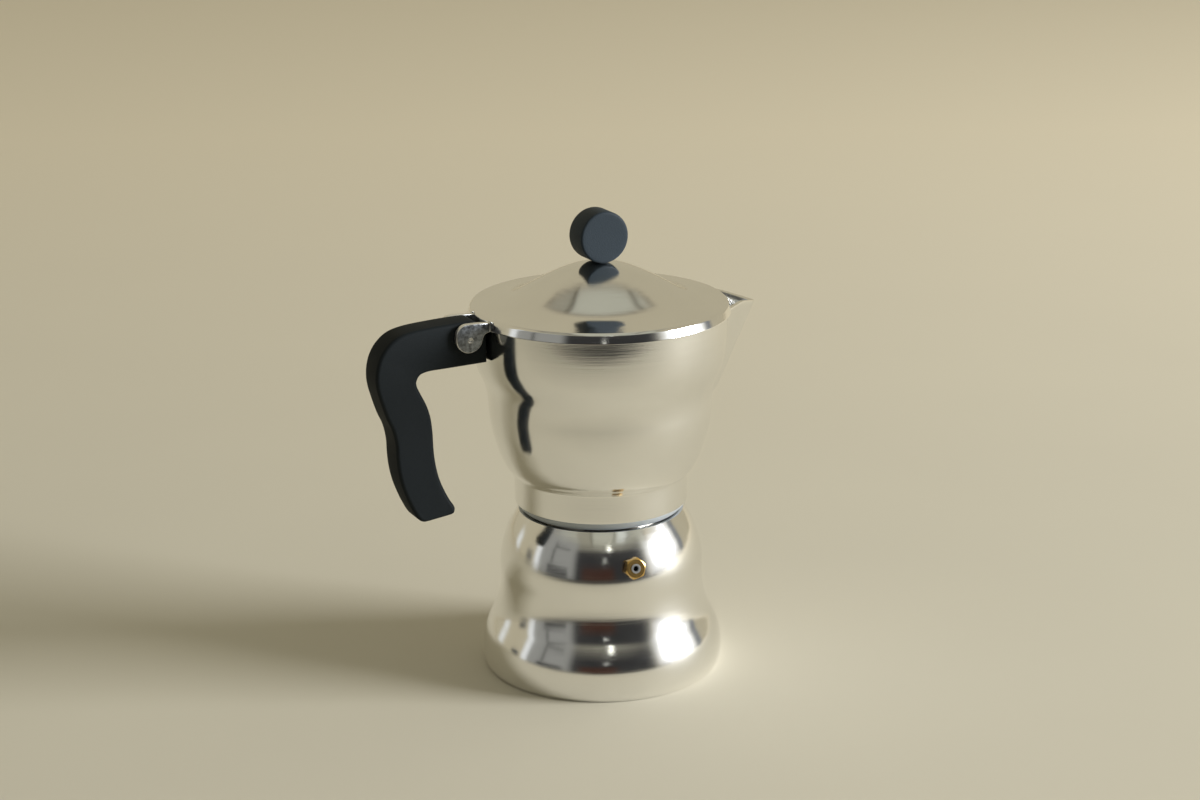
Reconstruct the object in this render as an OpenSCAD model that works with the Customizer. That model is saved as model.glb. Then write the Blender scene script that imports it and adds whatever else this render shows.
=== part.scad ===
// Three-cup stovetop coffee pot: waisted boiler, screwed-on collector with a beak,
// hinged hat-shaped lid with an upright disc knob, and a flat wavy handle.
// Millimetres. +Z is up, the origin is on the pot's axis at the underside of the boiler,
// +X points at the beak and -X at the handle.

/* [Boiler] */
// widest radius of the lower bulge
base_r = 44.6; // [40:0.1:50]
// radius of the flat underside
foot_r = 43.1; // [38:0.1:48]
// radius of the waist between the two bulges
waist_r = 37.2; // [33:0.1:42]
// radius of the upper bulge
bulge_r = 37.4; // [33:0.1:42]
// outer radius of the shoulder under the collar
shoulder_r = 31.0; // [28:0.1:36]
// height of the shoulder
shoulder_z = 60.3; // [50:0.1:70]
// wall thickness of the boiler
boiler_wall = 2.2; // [1.5:0.1:4]
// thickness of the boiler's floor
boiler_floor = 3.0; // [2:0.1:6]
// outer radius of the neck without its thread
neck_r = 26.6; // [22:0.1:30]
// inner radius of the neck
neck_bore_r = 24.4; // [20:0.1:28]
// height of the neck's rim
neck_z = 69.5; // [65:0.1:75]

/* [Thread] */
// rise of the thread in one turn
thread_pitch = 3.0; // [2:0.1:4]
// depth of the thread ridges
thread_depth = 1.0; // [0.6:0.1:1.6]
// length of each ridge in turns
thread_turns = 1.5; // [1:0.25:3]

/* [Safety valve] */
// direction of the valve round the axis in degrees
valve_angle = -97.9; // [-180:0.1:180]
// upward tilt of the valve in degrees
valve_tilt = 13; // [0:1:30]
// distance of the valve seat face from the axis
valve_r = 36.45; // [30:0.05:45]
// height of the valve
valve_z = 48.4; // [30:0.1:56]
// turn of the hexagon about the valve's own axis
valve_turn = 45; // [0:1:59]
// width across the hexagon's flats
valve_flats = 7.0; // [5:0.1:10]
// distance the hexagon's outer face stands off the wall
valve_head = 3.4; // [2:0.1:6]
// radius of the ball
ball_r = 1.4; // [1:0.05:2]

/* [Funnel and seal] */
// outer radius of the coffee basket
basket_r = 23.9; // [20:0.1:26]
// height of the basket's ledge for the strainer
basket_z = 49.5; // [40:0.1:60]
// wall thickness of the basket and stem
funnel_wall = 0.6; // [0.4:0.1:1.2]
// outer radius of the stem
stem_r = 3.6; // [2.5:0.1:5]
// height of the stem's lower end
stem_z = 7.5; // [4:0.5:15]
// inner radius of the gasket
gasket_in_r = 21.0; // [18:0.1:24]
// outer radius of the gasket
gasket_out_r = 26.5; // [25:0.1:30]
// thickness of the gasket
gasket_t = 2.1; // [1.5:0.1:3]

/* [Collector] */
// outer radius of the collar
collar_r = 31.8; // [28:0.1:36]
// height of the collar's lower edge
collar_z = 60.8; // [55:0.1:66]
// height where the bowl starts above the collar
bowl_z = 74.2; // [70:0.1:80]
// radius of the bowl's lower bulge
bowl_r = 40.65; // [36:0.05:46]
// radius of the bowl at its rim
rim_r = 46.3; // [42:0.1:52]
// height of the bowl's rim
rim_z = 136.7; // [125:0.1:145]
// wall thickness of the bowl
bowl_wall = 1.8; // [1.2:0.1:3]
// height of the bowl's floor
floor_z = 76.2; // [74:0.1:80]
// distance of the beak's tip from the axis
beak_x = 64.3; // [55:0.1:75]
// height of the beak's tip
beak_z = 131.4; // [125:0.1:136]
// height of the beak's lips at the bowl
lip_z = 134.3; // [128:0.1:136]
// half of the beak's opening angle seen from above
beak_half = 38.5; // [25:0.5:60]

/* [Column] */
// outer radius of the column at the floor
column_r = 6.4; // [5:0.1:9]
// outer radius of the column at its top
column_top_r = 5.2; // [4:0.1:7]
// bore radius of the column
column_bore_r = 3.2; // [2.5:0.1:4]
// height of the column's top
column_z = 116; // [100:0.5:125]
// height of the cap's top
cap_z = 121.5; // [110:0.5:130]

/* [Lid] */
// outer radius of the lid's rim
lid_r = 47.7; // [43:0.1:54]
// height of the lid's upper edge
lid_z = 138.3; // [130:0.1:146]
// height of the rim's lower edge
band_z = 134.5; // [126:0.1:142]
// height of the lid's crown
crown_z = 153.05; // [145:0.05:160]
// thickness of the lid
lid_t = 1.3; // [0.8:0.1:2.5]

/* [Knob] */
// radius of the knob's disc
knob_r = 9.4; // [7:0.1:14]
// thickness of the knob's disc
knob_t = 10.6; // [6:0.1:16]
// height of the disc's centre
knob_z = 162.5; // [155:0.1:170]

/* [Handle and hinge] */
// thickness of the handle
handle_t = 11.5; // [8:0.1:16]
// edge rounding of the handle
handle_round = 1.3; // [0.5:0.1:2]
// distance of the hinge pin behind the axis
pin_x = -54.1; // [-60:0.1:-50]
// height of the hinge pin
pin_z = 132.1; // [125:0.1:140]
// radius of the hinge pin
pin_r = 1.25; // [1:0.05:2]
// radius of the lid's hinge ears
ear_r = 4.65; // [3:0.05:7]
// thickness of each hinge ear
ear_t = 2.3; // [1.5:0.1:4]

/* [Hidden] */
$fn = 96;

e = 0.01;
seat_depth = 4.2;             // depth of the ball's seat under the wall surface
seat_hole_r = 1.0;
valve_bore_r = 1.75;
ball_at = -seat_depth + sqrt(ball_r * ball_r - seat_hole_r * seat_hole_r) + 0.03;
neck_flange_z = neck_z + 0.1; // underside of the funnel's flange
gasket_z = neck_flange_z + 0.9;
plate_z = gasket_z + gasket_t + 0.15;
collar_bore_r = neck_r + thread_depth + 0.35;
collar_roof_z = plate_z + 1.05;
ear_gap = 0.3;
ear_in = handle_t / 2 + ear_gap;
knuckle_r = 6.55;             // handle and lug stay inside this radius where the rim swings
beak_slope = 0.5;             // outward run of the beak's keel for each millimetre of rise

// Smooth curve through stations [position, value], n steps in each span.
function grade(p, i) =
    i == 0 ? (p[1][1] - p[0][1]) / (p[1][0] - p[0][0]) :
    i == len(p) - 1 ? (p[i][1] - p[i - 1][1]) / (p[i][0] - p[i - 1][0]) :
    (p[i + 1][1] - p[i - 1][1]) / (p[i + 1][0] - p[i - 1][0]);
function span(p, i, t) =
    let (h = p[i + 1][0] - p[i][0])
    (2*t*t*t - 3*t*t + 1) * p[i][1] + (t*t*t - 2*t*t + t) * h * grade(p, i) +
    (-2*t*t*t + 3*t*t) * p[i + 1][1] + (t*t*t - t*t) * h * grade(p, i + 1);
function smooth(p, n) = concat(
    [for (i = [0 : len(p) - 2]) for (k = [0 : n - 1])
        [p[i][0] + (p[i + 1][0] - p[i][0]) * k / n, span(p, i, k / n)]],
    [p[len(p) - 1]]);
function swap(p) = [for (v = p) [v[1], v[0]]];
function back(p) = [for (i = [len(p) - 1 : -1 : 0]) p[i]];

// Closed curve through points in the plane, n steps in each span.
function wrap(p, i) = p[(i + len(p)) % len(p)];
function knot(p, i, t) =
    let (a = wrap(p, i - 1), b = wrap(p, i), c = wrap(p, i + 1), d = wrap(p, i + 2))
    0.5 * (2*b + (c - a)*t + (2*a - 5*b + 4*c - d)*t*t + (3*b - a - 3*c + d)*t*t*t);
function open_curve(p, n) = concat(
    [for (i = [1 : len(p) - 3]) for (k = [0 : n - 1]) knot(p, i, k / n)],
    [p[len(p) - 2]]);
function unit(v) = v / norm(v);
// Outline moved inwards by d; the outline runs anticlockwise.
function inset(p, d) = [for (i = [0 : len(p) - 1])
    let (u = unit(wrap(p, i) - wrap(p, i - 1)), w = unit(wrap(p, i + 1) - wrap(p, i)),
         m = [-u[1] - w[1], u[0] + w[0]])
    p[i] + d * m / (1 + u * w)];

// Boiler outline, [height, radius]
boiler_line = smooth([[0, foot_r], [1.2, base_r - 0.75], [4, base_r - 0.15], [7.5, base_r],
    [11.5, base_r - 0.4], [15, base_r - 1.35], [18.5, base_r - 2.9], [22, base_r - 4.7],
    [25.5, waist_r + 1.6], [29, waist_r + 0.72], [32.5, waist_r + 0.18], [36, waist_r],
    [40, bulge_r - 0.02], [44, bulge_r - 0.1], [48, bulge_r - 0.7], [52, bulge_r - 2.1],
    [56, bulge_r - 4.2], [shoulder_z, shoulder_r]], 3);

// Bowl outline above the collar, [height, radius]
bowl_line = smooth([[bowl_z, collar_r + 0.1], [77, 34.4], [81, 36.45], [86, 38.2],
    [92, bowl_r - 0.8], [98, bowl_r], [104, bowl_r + 0.35], [109, bowl_r + 1.35],
    [114, rim_r - 2.1], [119, rim_r - 0.8], [126, rim_r - 0.15], [rim_z, rim_r]], 4);

// Lid outline, [radius, height]
lid_line = smooth([[0, crown_z], [5, crown_z - 0.45], [10, crown_z - 1.7],
    [15, crown_z - 3.65], [20, crown_z - 6.05], [25, crown_z - 8.75], [28, crown_z - 10.45],
    [31, crown_z - 12.05], [34, crown_z - 13.3], [38, lid_z + 0.65], [42, lid_z + 0.25],
    [lid_r - 1.8, lid_z]], 4);
// Height of the upper face of the knob screw's head
head_z = crown_z - lid_t - 1;
// Bevelled edge and flared band of the lid, [radius, height]
lid_edge = [[lid_r - 1.55, lid_z - 0.07], [lid_r - 1.05, lid_z - 0.55],
    [lid_r - 0.9, lid_z - 0.8], [lid_r, band_z + 0.3], [lid_r - 0.07, band_z + 0.1],
    [lid_r - 0.3, band_z]];

// Sweeps a short trapezoid ridge along a right-hand helix.
// r0 is the root radius, dir +1 for a ridge that points out and -1 for one that points in.
module ridge(r0, dir, z0) {
    steps = round(48 * thread_turns);
    root = 0.75;
    crest = 0.35;
    pts = [for (i = [0 : steps])
        let (a = 360 * thread_turns * i / steps, f = min(1, min(i, steps - i) / 5 + 0.05),
             z = z0 + thread_pitch * thread_turns * i / steps,
             rb = r0 - dir * 0.4, rt = r0 + dir * (f * (thread_depth + 0.1) - 0.1))
        each [[rb * cos(a), rb * sin(a), z - root], [rt * cos(a), rt * sin(a), z - crest],
              [rt * cos(a), rt * sin(a), z + crest], [rb * cos(a), rb * sin(a), z + root]]];
    ring = dir > 0 ? [0, 1, 2, 3] : [3, 2, 1, 0];
    sides = [for (i = [0 : steps - 1]) for (k = [0 : 3])
        let (a = 4 * i + ring[k], b = 4 * i + ring[(k + 1) % 4])
        each [[a, b, b + 4], [a, b + 4, a + 4]]];
    last = 4 * steps;
    ends = [[ring[3], ring[2], ring[1]], [ring[3], ring[1], ring[0]],
            [last + ring[0], last + ring[1], last + ring[2]],
            [last + ring[0], last + ring[2], last + ring[3]]];
    polyhedron(pts, concat(sides, ends), convexity = 6);
}

// Places a piece on the safety valve's axis: local +Z points out of the boiler,
// local zero is the boiler's outer surface.
module at_valve() {
    rotate([0, 0, valve_angle]) translate([valve_r, 0, valve_z])
        rotate([0, 90 - valve_tilt, 0]) children();
}

module tube(ro, ri, z0, z1) {
    difference() {
        translate([0, 0, z0]) cylinder(r = ro, h = z1 - z0);
        translate([0, 0, z0 - 1]) cylinder(r = ri, h = z1 - z0 + 2);
    }
}

// Rings of small round holes for a strainer: 6 more holes in each ring.
module holes(rings, step, r, z0, z1) {
    for (k = [0 : rings]) for (i = [0 : max(0, 6 * k - 1)])
        rotate([0, 0, 360 * i / max(1, 6 * k)]) translate([k * step, 0, z0])
            cylinder(r = r, h = z1 - z0, $fn = 24);
}

// Spun aluminium boiler: flat floor, two soft bulges with a waist, a flat shoulder
// and a threaded neck. A small round pad inside takes the safety valve.
module boiler() {
    inner = [for (v = boiler_line) if (v[0] > boiler_floor + 1 && v[0] < shoulder_z - 3)
        [v[1] - boiler_wall, v[0]]];
    color([0.83, 0.83, 0.84]) difference() {
        union() {
            rotate_extrude() polygon(concat([[0, 0]], swap(boiler_line),
                [[neck_r, shoulder_z], [neck_r, neck_z - 0.5], [neck_r - 0.5, neck_z],
                 [0, neck_z]]));
            ridge(neck_r, 1, shoulder_z + 2.3);
        }
        difference() {
            rotate_extrude() polygon(concat([[0, boiler_floor],
                [base_r - boiler_wall - 3, boiler_floor]], inner,
                [[shoulder_r - boiler_wall - 1.6, shoulder_z - boiler_wall - 0.4],
                 [neck_bore_r, shoulder_z - boiler_wall + 1.2],
                 [neck_bore_r, neck_z + 1], [0, neck_z + 1]]));
            at_valve() translate([0, 0, -4]) cylinder(r = 5, h = 4);
        }
        at_valve() {
            translate([0, 0, -0.35]) cylinder(r = 4.3, h = 8);
            translate([0, 0, -9]) cylinder(r = 2.7, h = 12);
        }
    }
}

// Brass valve body: hexagon outside the wall, round shank through it, stepped bore.
module valve_body() {
    corner_r = valve_flats / sqrt(3);
    color([0.78, 0.6, 0.3]) at_valve() difference() {
        union() {
            intersection() {
                translate([0, 0, 0.25]) rotate([0, 0, valve_turn])
                    cylinder(r = corner_r, h = valve_head - 0.25, $fn = 6);
                rotate_extrude() polygon([[0, 0.2], [corner_r + 0.1, 0.2],
                    [corner_r + 0.1, valve_head - 0.45], [corner_r - 0.75, valve_head],
                    [0, valve_head]]);
            }
            translate([0, 0, -seat_depth - 2]) cylinder(r = 2.6, h = seat_depth + 2.3);
        }
        translate([0, 0, -seat_depth]) cylinder(r = valve_bore_r, h = 20);
        translate([0, 0, -seat_depth - 4]) cylinder(r = seat_hole_r, h = 8);
    }
}

// Flat sealing washer in the spot face under the hexagon.
module valve_washer() {
    color([0.55, 0.42, 0.28]) at_valve() tube(3.7, 2.75, -0.33, 0.22);
}

// Steel ball that closes the seat.
module valve_ball() {
    color([0.7, 0.7, 0.72]) at_valve() translate([0, 0, ball_at]) sphere(r = ball_r);
}

// Coil spring that holds the ball on its seat. Its outer end stands clear of the retainer
// by the ball's travel.
module valve_spring() {
    turns = 4.5;
    steps = 90;
    wire = 0.2;
    coil = 1.25;
    z0 = ball_at + 1.15;
    rise = valve_head - 1.2 - 0.65 - wire - z0;
    pts = [for (i = [0 : steps]) let (a = 360 * turns * i / steps) for (k = [0 : 5])
        let (b = 60 * k, r = coil + wire * cos(b))
        [r * cos(a), r * sin(a), z0 + rise * i / steps + wire * sin(b)]];
    sides = [for (i = [0 : steps - 1]) for (k = [0 : 5])
        let (a = 6 * i + k, b = 6 * i + (k + 1) % 6) each [[a, a + 6, b], [b, a + 6, b + 6]]];
    color([0.6, 0.6, 0.62]) at_valve()
        polyhedron(pts, concat(sides, [[0, 1, 2, 3, 4, 5],
            [for (k = [5 : -1 : 0]) 6 * steps + k]]), convexity = 10);
}

// Steel ring pressed into the mouth of the valve body behind the spring.
module valve_retainer() {
    color([0.72, 0.72, 0.74]) at_valve() tube(valve_bore_r - 0.03, 1.0, valve_head - 1.2,
        valve_head + 0.15);
}

// Coffee funnel: flange on the neck's rim, deep basket, cone and long stem.
module funnel() {
    w = funnel_wall;
    top = neck_flange_z + 0.8;
    cone_z = basket_z - 9;
    color([0.8, 0.8, 0.81]) rotate_extrude() polygon([
        [basket_r - w, top], [26.4, top], [26.4, neck_flange_z], [basket_r, neck_flange_z],
        [basket_r, basket_z - 1], [basket_r - 1, basket_z - 1.6], [stem_r, cone_z],
        [stem_r, stem_z], [stem_r - w, stem_z], [stem_r - w, cone_z + 0.4],
        [basket_r - 2.6, basket_z - 1], [basket_r - 2.4, basket_z], [basket_r - w, basket_z]]);
}

// Perforated strainer that lies on the basket's ledge.
module funnel_strainer() {
    color([0.74, 0.74, 0.76]) difference() {
        translate([0, 0, basket_z + 0.1]) cylinder(r = basket_r - funnel_wall - 0.15, h = 0.8);
        holes(5, 3.9, 0.85, basket_z - 1, basket_z + 2);
    }
}

// Flat sealing ring between the neck and the collector.
module gasket() {
    color([0.85, 0.84, 0.8])
        tube(gasket_out_r, gasket_in_r, gasket_z, gasket_z + gasket_t);
}

// Perforated plate above the gasket.
module filter_plate() {
    color([0.76, 0.76, 0.78]) difference() {
        translate([0, 0, plate_z]) cylinder(r = 26.4, h = 0.8);
        holes(5, 3.7, 0.75, plate_z - 1, plate_z + 2);
    }
}

// V-shaped prism of the beak, its keel slanting outwards. d moves both flanks inwards,
// keel_x and keel_z name a point on the keel and run is its outward run for each
// millimetre of rise.
module beak_prism(d, keel_x, keel_z, run) {
    tilt = atan(run);
    half = atan(tan(beak_half) / cos(tilt));
    rk = 1.4;
    l = 90;
    translate([keel_x, 0, keel_z]) rotate([0, tilt, 0]) translate([-d / sin(half), 0, -45])
        linear_extrude(130) {
            translate([-rk, 0]) circle(r = rk);
            polygon([[-rk + rk * sin(half), rk * cos(half)],
                [-rk + rk * sin(half) - l * cos(half), rk * cos(half) + l * sin(half)],
                [-rk + rk * sin(half) - l * cos(half), -rk * cos(half) - l * sin(half)],
                [-rk + rk * sin(half), -rk * cos(half)]]);
        }
}
module beak(d) {
    intersection() {
        beak_prism(d, beak_x, beak_z, beak_slope);
        beak_prism(d, 48.4, 99.8, 1.0);
        translate([20, -30, 80]) cube([60, 60, 80]);
    }
}

// Collector: collar with a tucked-in lower edge and an inner thread, wavy bowl, beak
// and the lug that carries the handle.
module collector() {
    inner = [for (v = bowl_line) if (v[0] > floor_z + 3.4) [v[1] - bowl_wall, v[0]]];
    color([0.83, 0.83, 0.84]) difference() {
        union() {
            rotate_extrude() polygon(concat([[0, collar_z], [collar_r - 2.6, collar_z],
                [collar_r - 2.4, collar_z + 0.2], [collar_r - 1.4, collar_z + 1.1],
                [collar_r - 0.6, collar_z + 2.1], [collar_r, collar_z + 3.1],
                [collar_r, bowl_z]], swap(bowl_line), [[0, rim_z]]));
            difference() {
                beak(0);
                translate([0, 0, lip_z]) cylinder(r = 100, h = 60);
                translate([54.6, -50, lip_z])
                    rotate([0, atan((lip_z - beak_z) / (beak_x - 54.6)), 0])
                    cube([60, 100, 40]);
            }
            lug(2.0, 0);
        }
        rotate_extrude() polygon(concat([[0, floor_z], [29.6, floor_z], [32.0, floor_z + 1.3]],
            inner, [[rim_r - bowl_wall, rim_z + 1], [0, rim_z + 1]]));
        intersection() {
            beak(1.5);
            translate([36, -40, 90]) cube([60, 80, 80]);
        }
        difference() {
            translate([0, 0, collar_z - 1]) cylinder(r = collar_bore_r,
                h = collar_roof_z - collar_z + 1);
            ridge(collar_bore_r, -1, shoulder_z + 2.3 + thread_pitch / 2);
        }
        translate([0, 0, collar_roof_z - 1]) cylinder(r = 19.5, h = 1.8);
        translate([0, 0, 60]) cylinder(r = column_r + 0.08, h = 30);
        translate([pin_x, 0, pin_z]) rotate([90, 0, 0]) cylinder(r = pin_r + 0.05, h = 20,
            center = true);
    }
}

// Flat lug on the back of the bowl; w is half its thickness and d a growth all round.
module lug(w, d) {
    translate([0, w, 0]) rotate([90, 0, 0]) linear_extrude(2 * w) {
        translate([pin_x, pin_z]) circle(r = 4.9 + d);
        polygon([[pin_x, pin_z - 4.9 - d], [-45.6, 124.6 - d], [-45.6, 134.15],
            [-47.9, 134.15], [pin_x, pin_z + 4.9 + d]]);
    }
}

// Tapered tube that brings the coffee up from the floor.
module column() {
    color([0.8, 0.8, 0.81]) difference() {
        translate([0, 0, collar_roof_z + 0.9])
            cylinder(r1 = column_r, r2 = column_top_r, h = column_z - collar_roof_z - 0.9);
        translate([0, 0, 60]) cylinder(r = column_bore_r, h = 80);
    }
}

// Cap on the column with two side windows.
module column_cap() {
    color([0.8, 0.8, 0.81]) difference() {
        rotate_extrude() polygon([[5.75, 110], [6.9, 110], [6.9, cap_z - 1.6],
            [6.3, cap_z - 0.6], [4.8, cap_z], [0, cap_z], [0, cap_z - 1.1],
            [5.2, cap_z - 1.4], [5.75, cap_z - 2]]);
        translate([-2.6, -20, column_z + 0.6]) cube([5.2, 40, 2.9]);
    }
}

// Edges of the handle in the XZ plane, both from the hinge end to the tail.
handle_outer = open_curve([[-40, 138.2], [-46.75, 138.2], [-56, 138.2], [-66, 137.8],
    [-75, 137.05], [-80.6, 135.5], [-84.6, 132.4], [-87.2, 128.4], [-88.5, 123.6],
    [-88.5, 118.6], [-87.2, 113.2], [-85.2, 107], [-83.2, 102.3], [-82.1, 97], [-81.9, 91.5],
    [-81.4, 86.5], [-80.2, 81], [-78, 75], [-76.2, 71.2], [-74.9, 68.9], [-73.7, 67.5],
    [-72.2, 66.85], [-70.5, 66.9], [-67.5, 67.25], [-64, 67.7]], 3);
handle_inner = open_curve([[-40, 122.7], [-46.75, 122.5], [-55, 122.3], [-62, 122.15],
    [-68.4, 122], [-71.4, 121.4], [-72.6, 120.6], [-73.3, 119.4], [-73.55, 118.2],
    [-73.2, 116.6], [-72, 114], [-70, 109.8], [-68.6, 105], [-68, 99.5], [-67.8, 93.5],
    [-67.2, 87.7], [-66, 82.3], [-64.2, 77.6], [-62.2, 73.6], [-60.9, 71.6], [-60.35, 70.2],
    [-60.5, 69], [-61.3, 68.15], [-63.5, 67.75], [-67, 67.3]], 3);

// Flat moulded handle with rounded edges, slotted for the lug and bored for the pin.
module handle() {
    line = concat(handle_outer, back(handle_inner));
    n = len(line);
    half = n / 2;
    q = handle_t / 2 - handle_round;
    rings = [for (s = [-1, 1]) for (a = s < 0 ? [90, 60, 30, 0] : [0, 30, 60, 90])
        [inset(line, handle_round * (1 - cos(a))), s * (q + handle_round * sin(a))]];
    pts = [for (r = rings) for (p = r[0]) [p[0], r[1], p[1]]];
    m = len(rings);
    top = (m - 1) * n;
    sides = [for (j = [0 : m - 2]) for (i = [0 : n - 1])
        let (a = j * n + i, b = j * n + (i + 1) % n) each [[a, b, b + n], [a, b + n, a + n]]];
    caps = [for (i = [0 : half - 2]) let (a = i, b = i + 1, c = n - 2 - i, d = n - 1 - i)
        each [[c, b, a], [d, c, a], [top + a, top + b, top + c], [top + a, top + c, top + d]]];
    color([0.1, 0.1, 0.11]) difference() {
        polyhedron(pts, concat(sides, caps), convexity = 10);
        difference() {
            translate([pin_x, -20, pin_z + 1.95]) cube([20, 40, 20]);
            translate([pin_x, 0, pin_z]) rotate([90, 0, 0]) cylinder(r = knuckle_r, h = 60,
                center = true);
        }
        intersection() {
            lug(2.15, 0.35);
            translate([-70, -5, 110]) cube([30, 10, 30]);
        }
        translate([pin_x, 0, pin_z]) rotate([90, 0, 0]) cylinder(r = pin_r + 0.03, h = 30,
            center = true);
    }
}

// Plain pin through the ears, the handle and the lug.
module hinge_pin() {
    h = ear_in + ear_t + 0.25;
    color([0.7, 0.7, 0.72]) translate([pin_x, -h, pin_z]) rotate([-90, 0, 0])
        cylinder(r = pin_r, h = 2 * h);
}

// Hat-shaped lid: crown, concave slope, flat flange, flared rim band and two cast ears.
module lid() {
    under = [for (v = lid_line) [v[0], v[1] - lid_t]];
    in_top = lid_r - 1.2;
    in_low = lid_r - 0.95;
    color([0.83, 0.83, 0.84]) difference() {
        union() {
            rotate_extrude() polygon(concat(lid_line, lid_edge,
                [[in_low, band_z], [in_top, lid_z - lid_t]], back(under)));
            for (s = [-1, 1]) difference() {
                translate([0, s > 0 ? ear_in + ear_t : -ear_in, 0]) rotate([90, 0, 0])
                    linear_extrude(ear_t) {
                        translate([pin_x, pin_z]) circle(r = ear_r);
                        translate([pin_x - 1.65, pin_z + 3.3]) circle(r = 3);
                        polygon([[pin_x - ear_r, pin_z], [pin_x - ear_r, pin_z + 3.3],
                            [pin_x - 1.65, pin_z + 6.3], [-44.9, 137.95], [-44.9, 134],
                            [pin_x + 4.3, 133.8], [pin_x + ear_r, pin_z]]);
                    }
                cylinder(r = in_low, h = band_z + 0.001);
                translate([0, 0, band_z]) cylinder(r1 = in_low, r2 = in_top,
                    h = lid_z - lid_t - band_z);
            }
        }
        cylinder(r = 1.95, h = 200);
        translate([pin_x, 0, pin_z]) rotate([90, 0, 0]) cylinder(r = pin_r + 0.07, h = 40,
            center = true);
    }
}

// Upright disc with rounded edges and a small flat where it stands on the crown.
module knob() {
    r = 0.9;
    color([0.1, 0.1, 0.12]) difference() {
        translate([0, 0, knob_z]) rotate([90, 0, 0]) rotate_extrude() {
            translate([0, -knob_t / 2 + r]) square([knob_r, knob_t - 2 * r]);
            translate([0, -knob_t / 2]) square([knob_r - r, knob_t]);
            for (s = [-1, 1]) translate([knob_r - r, s * (knob_t / 2 - r)]) circle(r = r, $fn = 32);
        }
        translate([-20, -20, crown_z - 10 + 0.1]) cube([40, 40, 10]);
        translate([0, 0, 140]) cylinder(r = 1.65, h = 160.5 - 140);
    }
}

// Screw from under the lid into the knob.
module knob_screw() {
    color([0.72, 0.72, 0.74]) difference() {
        union() {
            translate([0, 0, head_z]) cylinder(r = 1.6, h = 160 - head_z);
            translate([0, 0, head_z - 1.7]) cylinder(r = 3.1, h = 1.7);
        }
        for (a = [0, 90]) rotate([0, 0, a])
            translate([-2.1, -0.4, head_z - 2.2]) cube([4.2, 0.8, 1.4]);
    }
}

// Washer between the screw's head and the lid.
module knob_washer() {
    color([0.72, 0.72, 0.74]) tube(4.2, 1.75, head_z + 0.02, head_z + 0.52);
}

boiler();
valve_body();
valve_washer();
valve_ball();
valve_spring();
valve_retainer();
funnel();
funnel_strainer();
gasket();
filter_plate();
collector();
column();
column_cap();
handle();
hinge_pin();
lid();
knob();
knob_screw();
knob_washer();
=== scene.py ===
from math import cos, pi, radians, sin, sqrt, tan

import bmesh
import bpy
import numpy as np
from mathutils import Matrix, Vector


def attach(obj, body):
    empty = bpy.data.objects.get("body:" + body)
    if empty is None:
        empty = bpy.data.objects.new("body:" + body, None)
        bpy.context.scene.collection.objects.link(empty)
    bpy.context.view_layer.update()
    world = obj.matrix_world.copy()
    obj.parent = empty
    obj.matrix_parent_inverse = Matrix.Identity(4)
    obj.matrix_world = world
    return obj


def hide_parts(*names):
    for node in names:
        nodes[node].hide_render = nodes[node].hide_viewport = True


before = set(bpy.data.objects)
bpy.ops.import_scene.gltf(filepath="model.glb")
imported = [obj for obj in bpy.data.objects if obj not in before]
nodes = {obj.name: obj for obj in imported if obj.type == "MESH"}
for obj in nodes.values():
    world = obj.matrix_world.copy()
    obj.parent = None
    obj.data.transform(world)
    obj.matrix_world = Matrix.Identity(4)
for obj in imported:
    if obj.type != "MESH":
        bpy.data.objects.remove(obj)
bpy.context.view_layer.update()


# ---------------------------------------------------------------- boiler
# The lower vessel is drawn from one aluminium disc and spun over a former: a flat floor,
# two soft bulges with a waist between them and a threaded neck. It is polished on the
# lathe, which leaves very fine rings round it.

mm = 0.001


def curve_through(stations, steps):
    """Smooth line through (position, value) stations, as (position, value) points."""
    p = [Vector(s) for s in stations]
    grade = [(p[min(i + 1, len(p) - 1)].y - p[max(i - 1, 0)].y)
             / (p[min(i + 1, len(p) - 1)].x - p[max(i - 1, 0)].x) for i in range(len(p))]
    line = []
    for i in range(len(p) - 1):
        run = p[i + 1].x - p[i].x
        for k in range(steps):
            t = k / steps
            line.append((p[i].x + run * t,
                         (2 * t**3 - 3 * t**2 + 1) * p[i].y + (t**3 - 2 * t**2 + t) * run * grade[i]
                         + (3 * t**2 - 2 * t**3) * p[i + 1].y + (t**3 - t**2) * run * grade[i + 1]))
    return line + [tuple(p[-1])]


def corner(centre, radius, start, end, steps=5):
    """Arc of an outline, from one angle to another in degrees."""
    return [(centre[0] + radius * cos(radians(start + (end - start) * k / steps)),
             centre[1] + radius * sin(radians(start + (end - start) * k / steps)))
            for k in range(steps + 1)]


def piece(name, points, faces, body, material, sharp=35):
    """Turns points in millimetres and faces into a closed, smooth piece that rides a body."""
    mesh = bpy.data.meshes.new(name)
    mesh.from_pydata([Vector(p) * mm for p in points], [], faces)
    work = bmesh.new()
    work.from_mesh(mesh)
    bmesh.ops.remove_doubles(work, verts=work.verts, dist=1e-7)
    bmesh.ops.recalc_face_normals(work, faces=work.faces)
    work.to_mesh(mesh)
    work.free()
    mesh.polygons.foreach_set("use_smooth", [True] * len(mesh.polygons))
    mesh.set_sharp_from_angle(angle=radians(sharp))
    mesh.materials.append(material)
    obj = bpy.data.objects.new(name, mesh)
    bpy.context.scene.collection.objects.link(obj)
    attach(obj, body)
    return obj


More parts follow.
